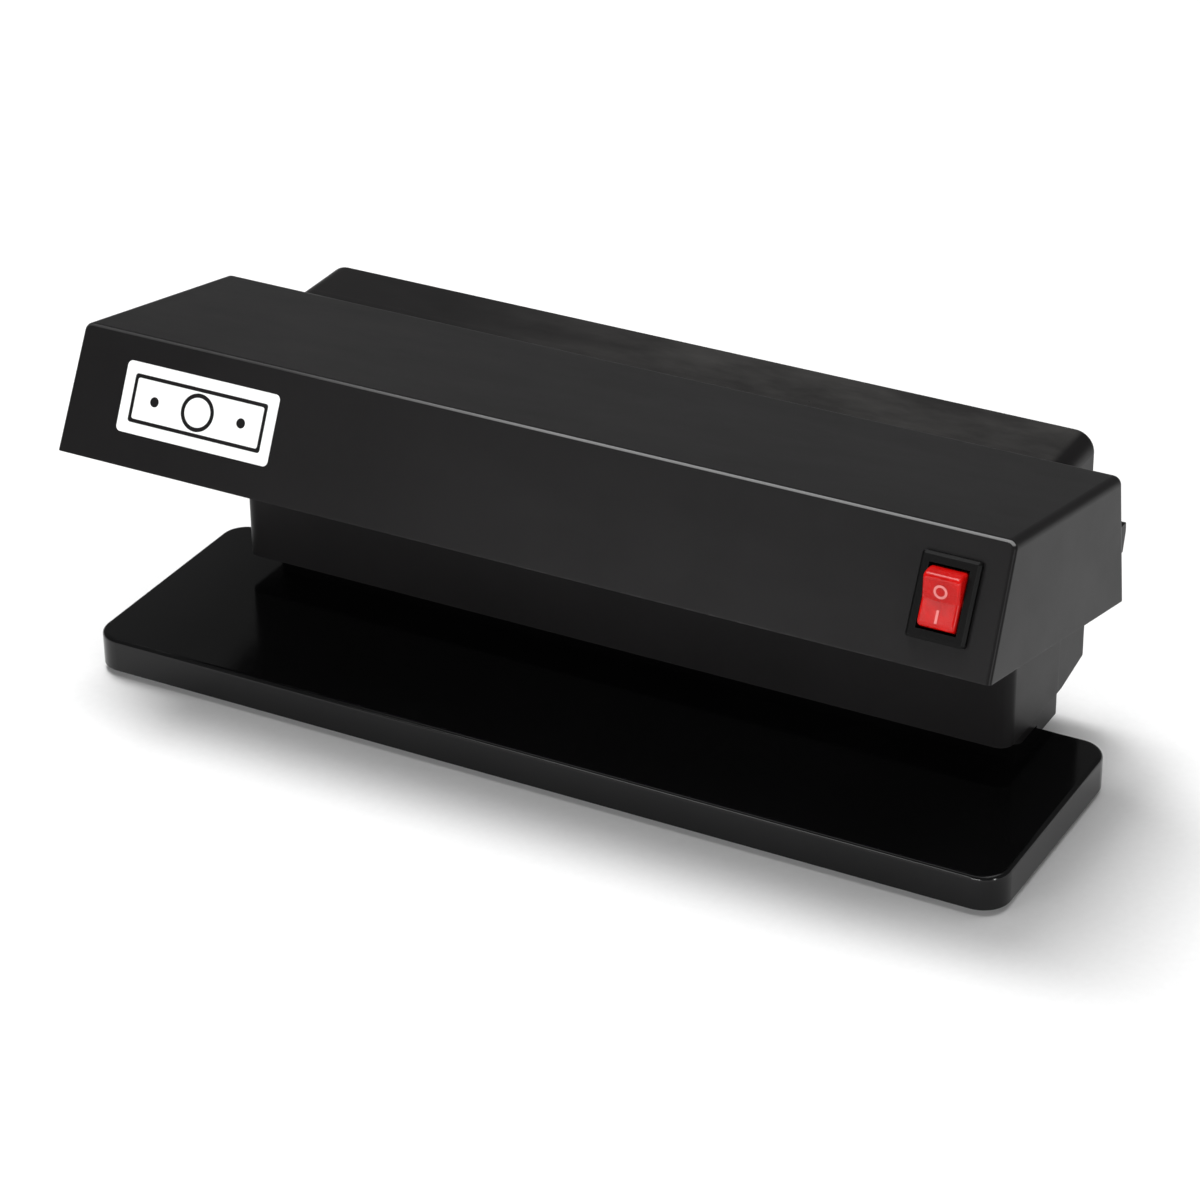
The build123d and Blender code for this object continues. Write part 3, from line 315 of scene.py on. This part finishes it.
def laminations():
    """Edges of thin varnished sheets stacked upwards, with bluish steel between the varnish lines."""
    recipe = Recipe("lamination_stack")
    wave = recipe.nodes.new("ShaderNodeTexWave")
    wave.bands_direction = "Z"
    wave.inputs["Scale"].default_value = LAMINATIONS_PER_METRE
    wave.inputs["Distortion"].default_value = 0.6
    recipe.link(recipe.place, wave.inputs["Vector"])
    cloud = recipe.noise(6 * MM, 4.0)
    base = recipe.blend(recipe.range(cloud, 0.3, 0.7, 0.0, 1.0), STEEL_DARK, STEEL_LIGHT)
    recipe.colour(recipe.blend(recipe.range(wave.outputs["Fac"], 0.2, 0.6, 0.7, 0.0), base, VARNISH))
    recipe.roughness(recipe.range(cloud, 0.3, 0.7, 0.35, 0.55))
    recipe.set(Metallic=0.8)
    recipe.bump([(wave.outputs["Fac"], 0.08 * MM, 0.6)])
    return recipe.material


def winding_tape():
    """Amber polyester tape over the winding, with overlapping turns."""
    recipe = Recipe("winding_tape")
    wave = recipe.nodes.new("ShaderNodeTexWave")
    wave.bands_direction = "Y"
    wave.inputs["Scale"].default_value = TAPE_TURNS_PER_METRE
    wave.inputs["Distortion"].default_value = 1.2
    recipe.link(recipe.place, wave.inputs["Vector"])
    banded = recipe.range(wave.outputs["Fac"], 0.1, 0.9, 0.0, 1.0)
    recipe.colour(recipe.blend(banded, TAPE_DARK, TAPE_LIGHT))
    recipe.roughness(recipe.range(recipe.noise(5 * MM, 3.0), 0.3, 0.7, 0.25, 0.45))
    recipe.set(Coat_Weight=0.3, Coat_Roughness=0.2)
    recipe.bump([(wave.outputs["Fac"], 0.15 * MM, 0.5)])
    return recipe.material


def printed_ink(name, colour):
    """Pad-printed ink: slightly uneven cover and a dry, flat surface."""
    recipe = Recipe(name)
    cover = recipe.noise(1.5 * MM, 4.0, 0.7)
    recipe.colour(recipe.blend(recipe.range(cover, 0.25, 0.6, 0.0, 1.0), shade(colour, 0.8), colour))
    recipe.roughness(recipe.range(cover, 0.3, 0.7, 0.4, 0.55))
    recipe.bump([(recipe.noise(0.3 * MM, 2.0), 0.01 * MM, 0.6)])
    return recipe.material


def black_abs(name, **extra):
    """Satin black ABS of the hood, the column and the pedestal."""
    return moulded_plastic(name, BLACK_ABS, level=SATIN_LEVEL, **extra)


SLOT_MATERIALS = {
    # The satin ABS carries the painted highlight on its upper front edge.
    "black_abs": black_abs("black_abs_satin", rough=SATIN_ROUGHNESS, rubbed=PAINTED_HIGHLIGHT_AMOUNT),
    "black_gloss_plastic": gloss_plastic("black_abs_gloss", BLACK_GLOSS, level=0.3),
    "switch_black": moulded_plastic("switch_black", BLACK_NYLON, 0.4, 0.25 * MM, wear=0.1, level=0.06),
    "zinc_steel": plain_metal("zinc_plate", ZINC, 0.34),
    "screw_steel": plain_metal("screw_zinc", BRIGHT_SCREW, 0.28, brush=(1, 1, 0.2), brush_size=0.3 * MM),
    "black_screw_steel": plain_metal("screw_black", BLACK_OXIDE, 0.38, brush=(1, 1, 0.2)),
    "spring_steel": plain_metal("spring_wire", SPRING_WIRE, 0.25),
    "lamination_steel": laminations(),
    "reflector_aluminium": plain_metal("reflector_sheet", ALUMINIUM_SHEET, 0.16, brush_size=0.3 * MM),
    "cap_aluminium": plain_metal("tube_cap", ALUMINIUM_CAP, 0.3, brush=(1, 0.1, 0.1)),
    "violet_glass": violet_filter_glass(),
    "brass": plain_metal("contact_brass", BRASS, 0.27, brush_size=0.25 * MM),
    "white_plastic": moulded_plastic("holder_white", WHITE_NYLON, 0.42, wear=0.0, level=0.5),
    "starter_shell": moulded_plastic("starter_shell", PALE_SHELL, 0.3, wear=0.0, level=0.5),
    "brown_fibre": moulded_plastic("phenolic_board", PHENOLIC_BROWN, 0.5, wear=0.1, level=0.4),
    "coil_tape": winding_tape(),
    "red_plastic": red_rocker_plastic(),
    "mark_white": printed_ink("rocker_mark_ink", MARK_PINK),
    "print_white": printed_ink("label_ink", LABEL_WHITE),
    "rubber": rubber_compound("foot_rubber", RUBBER_BLACK),
    "brown_lead": rubber_compound("lead_brown", LEAD_BROWN, 0.5),
    "white_lead": rubber_compound("lead_white", LEAD_WHITE, 0.5),
    "blue_lead": rubber_compound("lead_blue", LEAD_BLUE, 0.5),
}

# The rear housing's top is painted a lighter grey, more towards the right: partly dust, partly a painted
# highlight along its ridge.
dusty_highlit_abs = black_abs("black_abs_dusty_highlit", rough=SATIN_ROUGHNESS + 0.02, dust=DUST_AND_HIGHLIGHT_AMOUNT)
NODE_MATERIALS = {"rear_cover": dusty_highlit_abs, "column_shell": dusty_highlit_abs}


def dress_cad_nodes():
    """Gives every CAD node its own material, or else the one of its slot in the record."""
    slot_of = {part["node"]: part["material_slot"] for part in frame["record"]["subparts"]}
    for node, piece in frame["nodes"].items():
        material = NODE_MATERIALS.get(node, SLOT_MATERIALS[slot_of[node]])
        if not piece.material_slots:
            piece.data.materials.append(material)
        for slot in piece.material_slots:
            slot.material = material


dress_cad_nodes()


# ---- stage -------------------------------------------------------------------------------------
FLOOR_HALF = 6.0


def make_floor():
    """A plain sheet of pale paper, large enough to fill every view from above."""
    mesh = bpy.data.meshes.new("floor")
    corners = [(x * FLOOR_HALF, y * FLOOR_HALF, 0) for x, y in ((-1, -1), (1, -1), (1, 1), (-1, 1))]
    mesh.from_pydata(corners, [], [(0, 1, 2, 3)])
    floor = bpy.data.objects.new("floor", mesh)
    bpy.context.scene.collection.objects.link(floor)
    recipe = Recipe("floor_paper")
    paper = recipe.noise(2 * MM, 3.0)
    recipe.colour(recipe.blend(recipe.range(paper, 0.3, 0.7, 0.0, 1.0), PAPER_DARK, PAPER_LIGHT))
    recipe.roughness(recipe.range(paper, 0.3, 0.7, 0.75, 0.85))
    recipe.set(Specular_IOR_Level=0.1)
    floor.data.materials.append(recipe.material)


WORLD_STRENGTH = 0.14


def make_world():
    """Dim, even white surroundings, which keep the roof's reflection dark."""
    world = bpy.data.worlds.new("studio")
    world.use_nodes = True
    background = world.node_tree.nodes["Background"]
    background.inputs["Color"].default_value = (1.0, 1.0, 1.0, 1.0)
    background.inputs["Strength"].default_value = WORLD_STRENGTH
    bpy.context.scene.world = world


def aim(piece, target):
    """Turns a light's own -Z towards the target."""
    piece.rotation_euler = (Vector(target) - piece.location).to_track_quat("-Z", "Y").to_euler()


# Each softbox: its name, where it stands, its width, its height and its power in watts.
SOFTBOXES = [
    ("top_softbox", (0.0, 0.1, 2.2), 2.4, 2.0, 27.0),
    ("edge_softbox", (-0.4, 0.15, 1.6), 0.5, 0.9, 20.0),
    ("front_softbox", (-0.34, -0.95, 0.42), 0.3, 0.22, 1.2),
    ("low_front_softbox", (0.1, -0.95, 0.13), 0.5, 0.12, 3.5),
    ("right_strip", (1.3, -0.58, 0.22), 0.12, 0.4, 5.0),
]


def make_softbox(name, place, width, height, power):
    """A rectangular area light that faces the object."""
    light = bpy.data.lights.new(name, "AREA")
    light.shape = "RECTANGLE"
    light.size = width
    light.size_y = height
    light.energy = power
    lamp = bpy.data.objects.new(name, light)
    lamp.location = place
    aim(lamp, CENTRE)
    bpy.context.scene.collection.objects.link(lamp)


CAMERA_AZIMUTH = math.radians(28.59)
CAMERA_ELEVATION = math.radians(29.31)
CAMERA_ROLL = math.radians(-0.63)
CAMERA_DISTANCE = 1.0278
CAMERA_TARGET = Vector((2.9 * MM, -7.0 * MM, 37.6 * MM))
CAMERA_LENS = 120.2
SENSOR_WIDTH = 36.0


def make_camera():
    """A long lens at a three-quarter view, above the front right corner."""
    a, e = CAMERA_AZIMUTH, CAMERA_ELEVATION
    back = Vector((math.sin(a) * math.cos(e), -math.cos(a) * math.cos(e), math.sin(e)))
    level = Vector((math.cos(a), math.sin(a), 0.0))
    upright = back.cross(level)
    right = level * math.cos(CAMERA_ROLL) + upright * math.sin(CAMERA_ROLL)
    up = back.cross(right)
    data = bpy.data.cameras.new("camera")
    data.lens = CAMERA_LENS
    data.sensor_width = SENSOR_WIDTH
    camera = bpy.data.objects.new("camera", data)
    turn = Matrix((right, up, back)).transposed().to_4x4()
    camera.matrix_world = Matrix.Translation(CAMERA_TARGET + back * CAMERA_DISTANCE) @ turn
    bpy.context.scene.collection.objects.link(camera)
    bpy.context.scene.camera = camera


make_floor()
make_world()
for softbox in SOFTBOXES:
    make_softbox(*softbox)
make_camera()
bpy.context.scene.view_settings.view_transform = "Standard"
